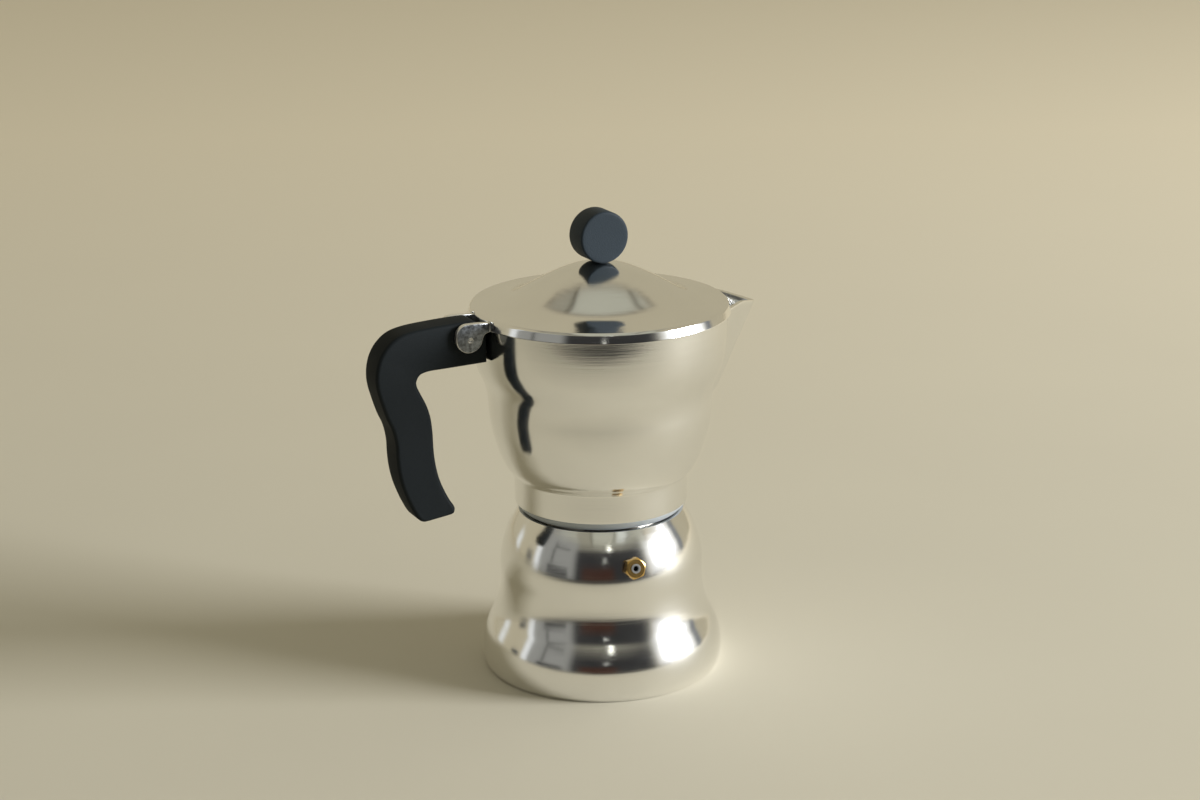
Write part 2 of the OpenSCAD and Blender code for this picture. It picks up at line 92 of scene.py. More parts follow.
def spun(name, outline, body, material, around=192):
    """Piece of revolution from a (radius, height) outline, closed or from pole to pole."""
    on_axis = 1e-6
    points, rings = [], []
    for r, z in outline:
        if r < on_axis:
            rings.append([len(points)] * around)
            points.append((0, 0, z))
        else:
            rings.append([len(points) + k for k in range(around)])
            points += [(r * cos(2 * pi * k / around), r * sin(2 * pi * k / around), z)
                       for k in range(around)]
    closed = outline[0][0] > on_axis
    faces = []
    for i in range(len(rings) if closed else len(rings) - 1):
        a, b = rings[i], rings[(i + 1) % len(rings)]
        for k in range(around):
            n = (k + 1) % around
            quad = [a[k], a[n], b[n], b[k]]
            faces.append([v for j, v in enumerate(quad) if v not in quad[:j]])
    return piece(name, points, [f for f in faces if len(f) > 2], body, material)


def node(tree, kind, inputs=None, **settings):
    """Adds a shader or geometry node, sets it and links or fills its inputs."""
    made = tree.nodes.new(kind)
    for key, value in settings.items():
        setattr(made, key, value)
    for key, value in (inputs or {}).items():
        if isinstance(value, bpy.types.NodeSocket):
            tree.links.new(value, made.inputs[key])
        else:
            made.inputs[key].default_value = value
    return made


def maths(tree, operation, *values):
    """Result of one sum, product or other operation."""
    return node(tree, "ShaderNodeMath", dict(enumerate(values)), operation=operation).outputs[0]


def stretched(tree, value, low, high, at_low=0.0, at_high=1.0, **settings):
    """A value taken from one range to another, and held at the ends."""
    return node(tree, "ShaderNodeMapRange", {"Value": value, "From Min": low, "From Max": high,
                                             "To Min": at_low, "To Max": at_high}, **settings).outputs[0]


def noise(tree, at, scale, detail, **more):
    """Cloudy values round a half."""
    return node(tree, "ShaderNodeTexNoise", {"Vector": at, "Scale": scale, "Detail": detail, **more}).outputs["Fac"]


def own_place(tree):
    """Place on the piece itself, so that the finish moves with it."""
    return node(tree, "ShaderNodeTexCoord").outputs["Object"]


def shade_of(tone, share):
    """A tone made darker or lighter by a share, as a full colour."""
    return (*[c * share for c in tone], 1)


def blend(tree, share, first, second):
    """Colour between two others."""
    return node(tree, "ShaderNodeMix", {0: share, 6: first, 7: second}, data_type="RGBA").outputs[2]


def bumped(tree, height, strength, depth, over=None):
    """Normal of a surface raised by a height, over another such normal if there is one."""
    inputs = {"Height": height, "Strength": strength, "Distance": depth}
    if over:
        inputs["Normal"] = over
    return node(tree, "ShaderNodeBump", inputs).outputs[0]


def new_material(name):
    """Plain material, with its node tree and its shader."""
    made = bpy.data.materials.new(name)
    made.use_nodes = True
    return made, made.node_tree, made.node_tree.nodes["Principled BSDF"]


def dress(tree, shader, colour, rough, normal):
    """Links what changes over a surface to its shader."""
    tree.links.new(colour, shader.inputs["Base Color"])
    tree.links.new(rough, shader.inputs["Roughness"])
    tree.links.new(normal, shader.inputs["Normal"])


# Fine rings left by the lathe, with a slow unevenness and soft smears over them.
lathe_rings = bpy.data.node_groups.new("lathe rings", "ShaderNodeTree")
for socket, value in (("Rings per mm", 6.0), ("Smear size", 60.0)):
    lathe_rings.interface.new_socket(socket, in_out="INPUT", socket_type="NodeSocketFloat").default_value = value
for socket in ("Ring height", "Tool marks", "Smears", "Waves"):
    lathe_rings.interface.new_socket(socket, in_out="OUTPUT", socket_type="NodeSocketFloat")
given = node(lathe_rings, "NodeGroupInput")
at = own_place(lathe_rings)
along = node(lathe_rings, "ShaderNodeSeparateXYZ", {0: at})
across = node(lathe_rings, "ShaderNodeCombineXYZ", {"X": along.outputs["X"], "Y": along.outputs["Y"]})
radius = node(lathe_rings, "ShaderNodeVectorMath", {0: across.outputs[0]}, operation="LENGTH").outputs["Value"]
dense = maths(lathe_rings, "MULTIPLY", given.outputs["Rings per mm"], 1000.0)
rings_at = node(lathe_rings, "ShaderNodeCombineXYZ", {
    "X": maths(lathe_rings, "MULTIPLY", radius, dense),
    "Y": maths(lathe_rings, "MULTIPLY", along.outputs["X"], 30.0),
    "Z": maths(lathe_rings, "MULTIPLY", along.outputs["Z"], dense)}).outputs[0]
coarse_at = node(lathe_rings, "ShaderNodeVectorMath", {0: rings_at, 1: (0.1, 0.3, 0.1)},
                 operation="MULTIPLY").outputs[0]
node(lathe_rings, "NodeGroupOutput", {
    "Ring height": noise(lathe_rings, rings_at, 1.0, 2.0, Roughness=0.6),
    "Tool marks": noise(lathe_rings, coarse_at, 1.0, 1.0),
    "Smears": noise(lathe_rings, at, given.outputs["Smear size"], 4.0, Roughness=0.55, Distortion=0.4),
    "Waves": noise(lathe_rings, at, 34.0, 1.0)})


def polished_aluminium(name, low, high, rings_per_mm, depth):
    """Bright aluminium whose roughness runs from low to high over its smears and rings."""
    tone = (0.92, 0.915, 0.9)
    made, t, shader = new_material(name)
    shader.inputs["Metallic"].default_value = 1.0
    marks = node(t, "ShaderNodeGroup", node_tree=lathe_rings)
    marks.inputs["Rings per mm"].default_value = rings_per_mm
    smears, rings = marks.outputs["Smears"], marks.outputs["Ring height"]
    rough = stretched(t, maths(t, "MULTIPLY", smears, rings), 0.12, 0.42, low, high)
    colour = blend(t, stretched(t, smears, 0.3, 0.7), shade_of(tone, 0.965), shade_of(tone, 1.0))
    slow = bumped(t, marks.outputs["Waves"], 0.25, 0.4 * mm)
    wide = bumped(t, marks.outputs["Tool marks"], depth, 0.03 * mm, slow)
    dress(t, shader, colour, rough, bumped(t, rings, depth, 0.02 * mm, wide))
    return made


boiler_polish = polished_aluminium("boiler polish", 0.1, 0.18, 5.0, 0.5)
boiler_wall, boiler_floor = 2.2, 3
neck_radius, neck_bore, shoulder_height, neck_edge = 26.6, 24.4, 60.3, 69.0
neck_round = 0.5
boiler_outside = curve_through(
    [(0, 43.1), (1.2, 43.85), (4, 44.45), (7.3, 44.6), (11.1, 44.2), (14.6, 43.25), (18.1, 41.7),
     (21.5, 39.95), (24.9, 38.77), (28.5, 37.9), (32, 37.42), (35, 37.3), (38.5, 37.5), (42, 37.37),
     (44.5, 37.02), (47.5, 36.33), (50, 35.62), (52, 34.93), (54, 34.12), (56, 33.1), (58, 31.95),
     (shoulder_height, 30.5)], 4)
boiler_inside = [(r - boiler_wall, z) for z, r in boiler_outside if 4 < z < 57.3]
boiler = spun(
    "boiler_shell",
    [(0, 0), (42.3, 0)] + [(r, z) for z, r in boiler_outside]
    + [(neck_radius, shoulder_height), (neck_radius, neck_edge + 0.1)]
    + corner((neck_radius - neck_round, neck_edge), neck_round, 10, 90)
    + corner((neck_bore + neck_round, neck_edge), neck_round, 90, 180)
    + [(neck_bore, 59.3), (27.2, 57.7)] + boiler_inside[::-1] + [(39.4, boiler_floor), (0, boiler_floor)],
    "boiler", boiler_polish)
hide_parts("boiler")


# ---------------------------------------------------------------- threads
# A rounded ridge runs one and a half turns round the neck, and its mate runs inside the
# collar. Both are rolled into the aluminium, with a pitch of 3 mm. The same wound path,
# with a round wire, makes the spring in the safety valve.

wound = bpy.data.node_groups.new("wound ridge", "GeometryNodeTree")
for socket, kind, value in (("Turns", "Float", 1.5), ("Radius", "Float", 0.027), ("Rise", "Float", 0.0045),
                            ("Wire radius", "Float", 0.0006), ("Taper", "Float", 0.0),
                            ("Steps per turn", "Int", 64), ("Sides", "Int", 8)):
    wound.interface.new_socket(socket, in_out="INPUT", socket_type=f"NodeSocket{kind}").default_value = value
wound.interface.new_socket("Finish", in_out="INPUT", socket_type="NodeSocketMaterial")
wound.interface.new_socket("Geometry", in_out="OUTPUT", socket_type="NodeSocketGeometry")
given = node(wound, "NodeGroupInput")
path = node(wound, "GeometryNodeCurveSpiral", {"Resolution": given.outputs["Steps per turn"],
                                               "Rotations": given.outputs["Turns"],
                                               "Start Radius": given.outputs["Radius"],
                                               "End Radius": given.outputs["Radius"],
                                               "Height": given.outputs["Rise"], "Reverse": True})
share = node(wound, "GeometryNodeSplineParameter").outputs["Factor"]
from_middle = maths(wound, "ABSOLUTE", maths(wound, "SUBTRACT", share, 0.5))
fade = stretched(wound, from_middle, 0.42, 0.5, 1.0, 0.1)
size = node(wound, "ShaderNodeMix", {0: given.outputs["Taper"], 2: 1.0, 3: fade}, data_type="FLOAT").outputs[0]
sized = node(wound, "GeometryNodeSetCurveRadius", {"Curve": path.outputs[0], "Radius": size})
section = node(wound, "GeometryNodeCurvePrimitiveCircle", {"Resolution": given.outputs["Sides"],
                                                           "Radius": given.outputs["Wire radius"]})
swept = node(wound, "GeometryNodeCurveToMesh", {"Curve": sized.outputs[0], "Profile Curve": section.outputs[0],
                                                "Fill Caps": True})
real = node(wound, "GeometryNodeRealizeInstances", {0: swept.outputs[0]})
finished = node(wound, "GeometryNodeSetMaterial", {"Geometry": real.outputs[0],
                                                   "Material": given.outputs["Finish"]})
node(wound, "NodeGroupOutput", {"Geometry": finished.outputs[0]})


def wind(name, body, material, place, turns, radius, rise, wire, taper=0.0, steps=64):
    """Plain mesh of a wound ridge or wire, in millimetres, set at a place and riding a body."""
    sizes = {"Turns": turns, "Radius": radius * mm, "Rise": rise * mm, "Wire radius": wire * mm, "Taper": taper,
             "Steps per turn": steps, "Sides": 8, "Finish": material}
    holder = bpy.data.objects.new(name + "_path", bpy.data.meshes.new(name + "_path"))
    bpy.context.scene.collection.objects.link(holder)
    rule = holder.modifiers.new("wound", "NODES")
    rule.node_group = wound
    for item in wound.interface.items_tree:
        if item.in_out == "INPUT":
            rule[item.identifier] = sizes[item.name]
    bpy.context.view_layer.update()
    shaped = holder.evaluated_get(bpy.context.evaluated_depsgraph_get())
    mesh = bpy.data.meshes.new_from_object(shaped)
    mesh.name = name
    holder.modifiers.remove(rule)
    bpy.data.objects.remove(holder)
    mesh.transform(place)
    mesh.polygons.foreach_set("use_smooth", [True] * len(mesh.polygons))
    mesh.set_sharp_from_angle(angle=radians(50))
    obj = bpy.data.objects.new(name, mesh)
    bpy.context.scene.collection.objects.link(obj)
    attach(obj, body)
    return obj


thread_turns, thread_pitch = 1.5, 3.0
thread_rise = thread_turns * thread_pitch
wind("neck_thread", "boiler", boiler_polish, Matrix.Translation((0, 0, 62.6 * mm)),
     thread_turns, 26.9, thread_rise, 0.68, taper=1.0)


# ---------------------------------------------------------------- safety valve
# A brass hexagon screwed through the wall of the boiler against a fibre washer. A steel
# ball sits on its inner end under a coil spring, which a pressed-in steel ring retains.
# The wall isn't drilled here as it is in the solid, so it closes the valve's bore and
# hides the ball.

def plain_metal(name, tone, roughness, grain, depth, rings_per_mm=0.0, patch=90.0, darkest=0.86):
    """Turned or pressed metal with a fine grain; tone and roughness vary over its patches."""
    made, t, shader = new_material(name)
    shader.inputs["Metallic"].default_value = 1.0
    at = own_place(t)
    height = noise(t, at, grain, 3.0)
    patches = noise(t, at, patch, 3.0)
    colour = blend(t, stretched(t, patches, 0.32, 0.68), shade_of(tone, darkest), shade_of(tone, 1.0))
    rough = stretched(t, patches, 0.3, 0.7, roughness * 0.8, roughness * 1.2)
    if rings_per_mm:
        marks = node(t, "ShaderNodeGroup", node_tree=lathe_rings)
        marks.inputs["Rings per mm"].default_value = rings_per_mm
        height = maths(t, "ADD", height, marks.outputs["Ring height"])
    dress(t, shader, colour, rough, bumped(t, height, depth, 0.05 * mm))
    return made


def soft_seal(name, tone, roughness, grain):
    """Matte seal material, slightly mottled."""
    made, t, shader = new_material(name)
    mottle = noise(t, own_place(t), grain, 5.0)
    colour = blend(t, mottle, shade_of(tone, 0.8), shade_of(tone, 1.0))
    rough = stretched(t, mottle, 0.0, 1.0, roughness - 0.1, roughness + 0.1)
    dress(t, shader, colour, rough, bumped(t, mottle, 0.3, 0.1 * mm))
    return made


def finish_node(name, material):
    """Gives a solid that keeps its own shape its finish."""
    nodes[name].data.materials.clear()
    nodes[name].data.materials.append(material)


def way_to(bearing, height=0.0):
    """Direction from the pot by a bearing round it and a height above level, in degrees."""
    turn, rise = radians(bearing), radians(height)
    return Vector((cos(turn) * cos(rise), sin(turn) * cos(rise), sin(rise)))


bright_steel = plain_metal("bright steel", (0.62, 0.61, 0.59), 0.16, 1800.0, 0.15)
dark_steel = plain_metal("dark steel", (0.02, 0.02, 0.02), 0.5, 1800.0, 0.2)
finish_node("valve_body", plain_metal("turned brass", (0.8, 0.52, 0.18), 0.24, 2400.0, 0.3))
finish_node("valve_ball", dark_steel)
finish_node("valve_retainer", plain_metal("bright pressed ring", (0.86, 0.87, 0.88), 0.3, 1800.0, 0.2))
finish_node("valve_washer", soft_seal("pressed fibre", (0.035, 0.022, 0.014), 0.7, 900.0))

valve_bearing, valve_tilt, valve_height = -97.9, 13, 48.4
seat_from_axis, coil_inside_seat = 36.45, 2.05
valve_out = way_to(valve_bearing, valve_tilt)
valve_at = way_to(valve_bearing) * (seat_from_axis * mm) + Vector((0, 0, valve_height * mm))
coil_start = Matrix.Translation(valve_at - valve_out * (coil_inside_seat * mm))
coil_turn = valve_out.to_track_quat("Z", "Y").to_matrix().to_4x4()
spring = wind("valve_coil", "valve_ball", dark_steel, coil_start @ coil_turn,
              4.5, 1.25, 3.4, 0.2, steps=24)
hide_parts("valve_spring")


# ---------------------------------------------------------------- funnel and seals
# The coffee basket is a deep-drawn aluminium cup with a stem pressed into its cone. A
# punched strainer lies in it. A silicone ring and a punched plate sit between its flange
# and the collector.

pressed_aluminium = plain_metal("pressed aluminium", (0.78, 0.775, 0.76), 0.32, 1500.0, 0.3, 3.0)
for name in ("funnel", "funnel_strainer", "filter_plate", "column", "column_cap"):
    finish_node(name, pressed_aluminium)
finish_node("gasket", soft_seal("white silicone", (0.78, 0.76, 0.7), 0.5, 260.0))


# ---------------------------------------------------------------- collector
# The upper vessel is one aluminium pressing: a plain collar whose lower edge is turned in,
# with a thread inside, a bowl that swells twice, and a V-shaped beak drawn out of its wall.

rim_radius, rim_height = 46.3, 136.7
bowl_wall, bowl_inner_foot = 1.8, 79.2
bowl_outside = curve_through(
    [(74.2, 31.9), (77, 34.4), (81, 36.45), (86, 38.2), (92, 39.85), (98, 40.65), (104, 41.0),
     (109, 42.0), (114, 44.2), (119, 45.5), (126, 46.15), (rim_height, rim_radius)], 8)
bowl_z = [z for z, r in bowl_outside]
bowl_r = [r for z, r in bowl_outside]
beak_half_angle = radians(38.5)
keel_tip, keel_tip_height, keel_slope = 64.5, 131.4, 0.5
keel_foot, keel_foot_height = 48.7, 99.8
fold_round = 0.02
lip_z, lip_falls_from, lip_fall = 134.3, 54.6, 0.14


def swell(a, b, width):
    """The larger of two radii, with a soft hollow where they meet."""
    return 0.5 * (a + b + sqrt((a - b) ** 2 + width ** 2))


def beak_radius(angle, z, inwards):
    """How far the beak's V reaches from the axis, its walls moved inwards by a thickness."""
    keel = min(keel_tip - keel_slope * (keel_tip_height - z), keel_foot + (z - keel_foot_height))
    keel -= inwards / sin(beak_half_angle)
    side = sqrt(sin(angle) ** 2 + fold_round ** 2) - fold_round
    fade = min(1.0, max(0.0, (1.15 - abs(angle)) / 0.5))
    return fade * keel / (cos(angle) + side / tan(beak_half_angle)) if fade else 0.0


def bowl_radius(angle, z, inwards):
    """Radius of the bowl's wall with its beak, moved inwards by a thickness."""
    round_wall = float(np.interp(z, bowl_z, bowl_r)) - inwards
    return swell(round_wall, beak_radius(angle, z, inwards * 0.83), 1.0)


def lip_height(angle):
    """Height of the wall's upper edge: the rim, or the lips that fall to the beak's tip."""
    reach = beak_radius(angle, lip_z, 0) - rim_radius
    out = min(1.0, max(0.0, (reach + 0.4) / 1.2))
    out = out * out * (3 - 2 * out)
    past = bowl_radius(angle, lip_z, 0) * cos(angle) - lip_falls_from
    lip = lip_z - lip_fall * (past + sqrt(past * past + 2.0))
    return rim_height + (lip - rim_height) * out


columns, rows = 300, 48
evenly = 0.35
angles = []
for k in range(columns):
    u = 2 * k / columns - 1
    angles.append(pi * (evenly * u + (1 - evenly) * u ** 3))
collar = [(27.95, 61.2), (28.3, 60.8), (29.1, 60.8), (29.25, 60.84), (29.4, 60.98), (29.9, 61.4), (30.4, 61.88),
          (30.85, 62.4), (31.2, 62.9), (31.5, 63.36), (31.7, 63.7), (31.78, 63.86), (31.8, 64.05), (31.8, 65),
          (31.8, 70), (31.8, 73.6), (31.82, 74.0)]
floor_ring = [(32.6, 78.2), (31.4, 76.9), (29.6, 76.25), (27, 76.2), (18, 76.2), (7.2, 76.2), (6.55, 75.9),
              (6.5, 74.6), (19.3, 74.6), (19.5, 74.4), (19.5, 73.8), (27.6, 73.8), (27.95, 73.4), (27.95, 67)]
bowl_foot, edge_down, edge_in = 74.25, 0.35, 0.25
rows_up = [i / (rows - 1) for i in range(rows)]
points, faces = [], []
for a in angles:
    top = lip_height(a)
    ring = list(collar)
    for s in rows_up:
        z = bowl_foot + (top - edge_down - bowl_foot) * s
        ring.append((bowl_radius(a, z, 0), z))
    outer, inner = ring[-1][0], bowl_radius(a, top - edge_down, bowl_wall)
    ring += [(outer - edge_in, top), (inner + edge_in, top)]
    for s in rows_up[::-1]:
        z = bowl_inner_foot + (top - edge_down - bowl_inner_foot) * s
        ring.append((bowl_radius(a, z, bowl_wall), z))
    ring += floor_ring
    points += [(r * cos(a), r * sin(a), z) for r, z in ring]
deep = len(points) // columns
for k in range(columns):
    for i in range(deep):
        a, b = k * deep, ((k + 1) % columns) * deep
        j = (i + 1) % deep
        faces.append([a + i, b + i, b + j, a + j])
bowl_polish = polished_aluminium("bowl polish", 0.09, 0.17, 4.0, 0.6)
# The collar's turned-in lower edge has a rougher turned finish, which is real. Its blue-grey colour, only partly
# metal, is a painted reflection of the room in that rougher edge.
painted_collar_reflection = plain_metal("turned collar edge with painted reflection", (0.44, 0.48, 0.52), 0.45, 1500.0, 0.3, 7.0)
painted_collar_reflection.node_tree.nodes["Principled BSDF"].inputs["Metallic"].default_value = 0.3
bowl = piece("collector_bowl", points, faces, "collector", bowl_polish, 50)
bowl.data.materials.append(painted_collar_reflection)
turned_edge_top, facing_down = 63.8 * mm, -0.2
for face in bowl.data.polygons:
    if face.center.z < turned_edge_top and face.normal.z < facing_down:
        face.material_index = 1
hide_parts("collector")
wind("collar_thread", "collector", bowl_polish, Matrix.Translation((0, 0, 64.1 * mm)),
     thread_turns, 27.63, thread_rise, 0.62, taper=1.0)


def plate(name, outline, y0, y1, rounding, body, material, steps=4):
    """Flat piece with rounded edges from an outline in the XZ plane, anticlockwise seen from -Y."""
    tightest = 0.3
    line = [Vector(p) for p in outline]
    moves = []
    for i in range(len(line)):
        u = (line[i] - line[i - 1]).normalized()
        w = (line[(i + 1) % len(line)] - line[i]).normalized()
        moves.append(Vector((-u.y - w.y, u.x + w.x)) / max(tightest, 1 + u.dot(w)))
    levels = [(rounding * (1 - sin(pi / 2 * k / steps)), y0 + rounding * (1 - cos(pi / 2 * k / steps)))
              for k in range(steps + 1)]
    levels += [(d, y0 + y1 - y) for d, y in levels[::-1]]
    points = []
    for d, y in levels:
        points += [((p + m * d).x, y, (p + m * d).y) for p, m in zip(line, moves)]
    n = len(line)
    faces = [[j * n + i, j * n + (i + 1) % n, (j + 1) * n + (i + 1) % n, (j + 1) * n + i]
             for j in range(len(levels) - 1) for i in range(n)]
    faces += [list(range(n))[::-1], list(range((len(levels) - 1) * n, len(levels) * n))]
    return piece(name, points, faces, body, material)


cast_aluminium = plain_metal("cast aluminium", (0.3, 0.32, 0.345), 0.34, 1400.0, 1.0, patch=900.0, darkest=0.36)
# Painted highlight: the edges of the lug and ears get a brighter copy of the cast aluminium, where their rounded
# edges catch the light. The flat sides keep the darker cast tone.
painted_edge_highlight = plain_metal("painted edge highlight", (0.95, 0.94, 0.91), 0.36, 1500.0, 0.4)


def paint_edge_highlights(obj):
    """Gives all but the flat sides of a plate a painted highlight: a brighter copy of the aluminium on its edges.
    """
    flat = 0.93
    obj.data.materials.append(painted_edge_highlight)
    for face in obj.data.polygons:
        if abs(face.normal.y) < flat:
            face.material_index = 1


pin_at = (-54.1, 132.1)
lug_half = 2.0
lug = plate("handle_lug", [(-45.6, 124.6), (-45.6, 134.15), (-47.9, 134.15)] + corner(pin_at, 4.9, 68, 248, 16),
            -lug_half, lug_half, 0.3, "collector", cast_aluminium)
paint_edge_highlights(lug)


# ---------------------------------------------------------------- handle
# One solid moulding of black heat-proof plastic, flat-sided, with the mould's fine matte
# grain. On the pot it is slotted over the lug and held by the hinge pin, a steel rod whose
# ends are turned to a shallow dish. Here the slot and the pin's bores through the handle,
# the lug and the ears are left out: the lug and the pin run into solid shapes.

def bend_through(stops, steps=5):
    """Smooth line through stops in the plane; the first and last only steer it."""
    p = [Vector(s) for s in stops]
    line = []
    for i in range(1, len(p) - 2):
        for k in range(steps):
            t = k / steps
            line.append(0.5 * (2 * p[i] + (p[i + 1] - p[i - 1]) * t
                               + (2 * p[i - 1] - 5 * p[i] + 4 * p[i + 1] - p[i + 2]) * t ** 2
                               + (3 * p[i] - p[i - 1] - 3 * p[i + 1] + p[i + 2]) * t ** 3))
    return [tuple(v) for v in line + [p[-2]]]


mould_grain = bpy.data.node_groups.new("mould grain", "ShaderNodeTree")
mould_grain.interface.new_socket("Grain size", in_out="INPUT", socket_type="NodeSocketFloat").default_value = 2200.0
for socket in ("Grain", "Handling"):
    mould_grain.interface.new_socket(socket, in_out="OUTPUT", socket_type="NodeSocketFloat")
given = node(mould_grain, "NodeGroupInput")
at = own_place(mould_grain)
node(mould_grain, "NodeGroupOutput", {"Grain": noise(mould_grain, at, given.outputs["Grain size"], 2.0),
                                      "Handling": noise(mould_grain, at, 55.0, 4.0)})


def black_plastic(name, tone, low, high, grain, depth):
    """Matte moulded plastic, a little smoother where hands have rubbed it."""
    made, t, shader = new_material(name)
    shader.inputs["Specular IOR Level"].default_value = 0.13
    marks = node(t, "ShaderNodeGroup", node_tree=mould_grain)
    marks.inputs["Grain size"].default_value = grain
    colour = blend(t, marks.outputs["Grain"], shade_of(tone, 0.8), shade_of(tone, 1.2))
    rough = stretched(t, marks.outputs["Handling"], 0.3, 0.7, low, high)
    dress(t, shader, colour, rough, bumped(t, marks.outputs["Grain"], depth, 0.1 * mm))
    return made


def lay_across(obj, x, z):
    """Turns a spun piece's axis to run from side to side, and moves it to its place."""
    obj.data.transform(Matrix.Translation((x * mm, 0, z * mm)) @ Matrix.Rotation(pi / 2, 4, "X"))


handle_plastic = black_plastic("handle plastic", (0.0092, 0.0122, 0.0142), 0.6, 0.74, 2200.0, 0.35)
handle_half, handle_round = 5.75, 1.35
handle_outline = (
    [(-46.75, 122.5), (-46.75, 134.05)] + corner(pin_at, 6.55, 17.5, 66.5, 8)
    + bend_through([(-46.75, 138.2), (-51.9, 138.2), (-56, 138.2), (-66, 137.8), (-75, 137.05), (-80.6, 135.5),
                    (-84.6, 132.4), (-87.2, 128.4), (-88.5, 123.6), (-88.5, 118.6), (-87.2, 113.2),
                    (-85.2, 107), (-83.2, 102.3), (-82.1, 97), (-81.9, 91.5), (-81.4, 86.5), (-80.2, 81),
                    (-78, 75), (-76.2, 71.2), (-74.9, 68.9), (-73.7, 67.5), (-72.2, 66.85), (-70.5, 66.9),
                    (-67.5, 67.25), (-63.5, 67.75), (-61.3, 68.15), (-60.5, 69), (-60.35, 70.2),
                    (-60.9, 71.6), (-62.2, 73.6), (-64.2, 77.6), (-66, 82.3), (-67.2, 87.7), (-67.8, 93.5),
                    (-68, 99.5), (-68.6, 105), (-70, 109.8), (-72, 114), (-73.2, 116.6), (-73.55, 118.2),
                    (-73.3, 119.4), (-72.6, 120.6), (-71.4, 121.4), (-68.4, 122), (-62, 122.15),
                    (-55, 122.3), (-46.75, 122.5)]))
handle = plate("handle_grip", handle_outline, -handle_half, handle_half, handle_round, "collector",
               handle_plastic, 6)
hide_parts("handle")

pin_end = [(0.0, 8.38), (0.35, 8.36), (0.5, 8.42), (0.68, 8.58), (0.86, 8.58), (1.0, 8.42), (1.12, 8.34),
           (1.25, 8.15)]
hinge_pin = spun("hinge_pin_turned", [(r, -y) for r, y in pin_end] + pin_end[::-1], "collector",
                 plain_metal("pin steel", (0.62, 0.615, 0.6), 0.28, 1500.0, 0.4), 40)
lay_across(hinge_pin, *pin_at)
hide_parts("hinge_pin")


# ---------------------------------------------------------------- lid
# Spun aluminium hat: a crown that curves out into a wide flat flange and turns down in a
# narrow band round the bowl's rim. Two cast ears are fixed to its back for the hinge.

lid_polish = polished_aluminium("lid polish", 0.09, 0.15, 5.0, 0.6)
lid_sheet = 1.3
crown = curve_through(
    [(0, 153.05), (5, 152.6), (10, 151.35), (15, 149.4), (20, 147.0), (25, 144.3), (28, 142.6),
     (31, 141.0), (34, 139.75), (38, 138.95), (42, 138.55), (45.9, 138.3)], 6)
crown_top = [(1.95, 153.0)] + [(r, z) for r, z in crown if r > 2.2]
crown_under = [(r, z - lid_sheet) for r, z in crown_top]
rim_band = [(46.06, 138.25), (46.2, 138.14), (46.6, 137.78), (46.72, 137.64), (46.8, 137.48), (46.86, 137.3),
            (47.62, 135.0), (47.68, 134.8), (47.66, 134.64), (47.56, 134.54), (47.4, 134.5),
            (46.75, 134.5), (46.5, 137.0)]
lid = spun("lid_shell", crown_top + rim_band + crown_under[::-1], "lid", lid_polish,
           224)
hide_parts("lid")

ear_outline = (corner((-54.4, 132.55), 5.05, 178, 333, 18)
               + [(-49.3, 132.2), (-48.9, 133.2), (-48.3, 133.8), (-46.6, 134.3), (-46.0, 137.6), (-52, 138.0)]
               + corner((-55.15, 133.75), 4.25, 90, 178, 8))
ridge_outline = [(-47.2, 134.55), (-46.05, 134.55), (-46.0, 138.1), (-46.9, 138.15)]
for side, toward in (("near", -1), ("far", 1)):
    for name, outline, inner, outer, rounding in (("lid_ear_", ear_outline, 6.05, 8.35, 0.5),
                                                  ("lid_ear_ridge_", ridge_outline, 7.2, 8.95, 0.35)):
        y0, y1 = sorted((toward * inner, toward * outer))
        paint_edge_highlights(plate(name + side, outline, y0, y1, rounding, "lid", cast_aluminium, 3))


# ---------------------------------------------------------------- knob
# A thick disc of the same black plastic as the handle, standing on its edge on the crown.
# A steel screw comes up from under the lid. The knob isn't drilled for it here.

knob_plastic = black_plastic("knob plastic", (0.026, 0.036, 0.046), 0.5, 0.62, 1900.0, 0.6)
knob_half, knob_round, knob_flat, knob_height = 5.3, 0.85, 8.55, 162.5
knob_side = ([(0, -knob_half), (4, -knob_half), (7.5, -knob_half)]
             + corner((knob_flat, knob_round - knob_half), knob_round, -90, 0)
             + corner((knob_flat, knob_half - knob_round), knob_round, 0, 90)
             + [(7.5, knob_half), (4, knob_half), (0, knob_half)])
knob = spun("knob_disc", knob_side, "lid", knob_plastic, 160)
lay_across(knob, 0, knob_height)
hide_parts("knob")
finish_node("knob_screw", bright_steel)
finish_node("knob_washer", bright_steel)


# ---------------------------------------------------------------- studio
# A pale floor of warm paint, painted lighter towards the back and painted near black in front
# for reflections only (a painted reflection); one large soft window to the right and a dim room behind the camera,
# which the polished walls show as dark bands.

room_faces = -116


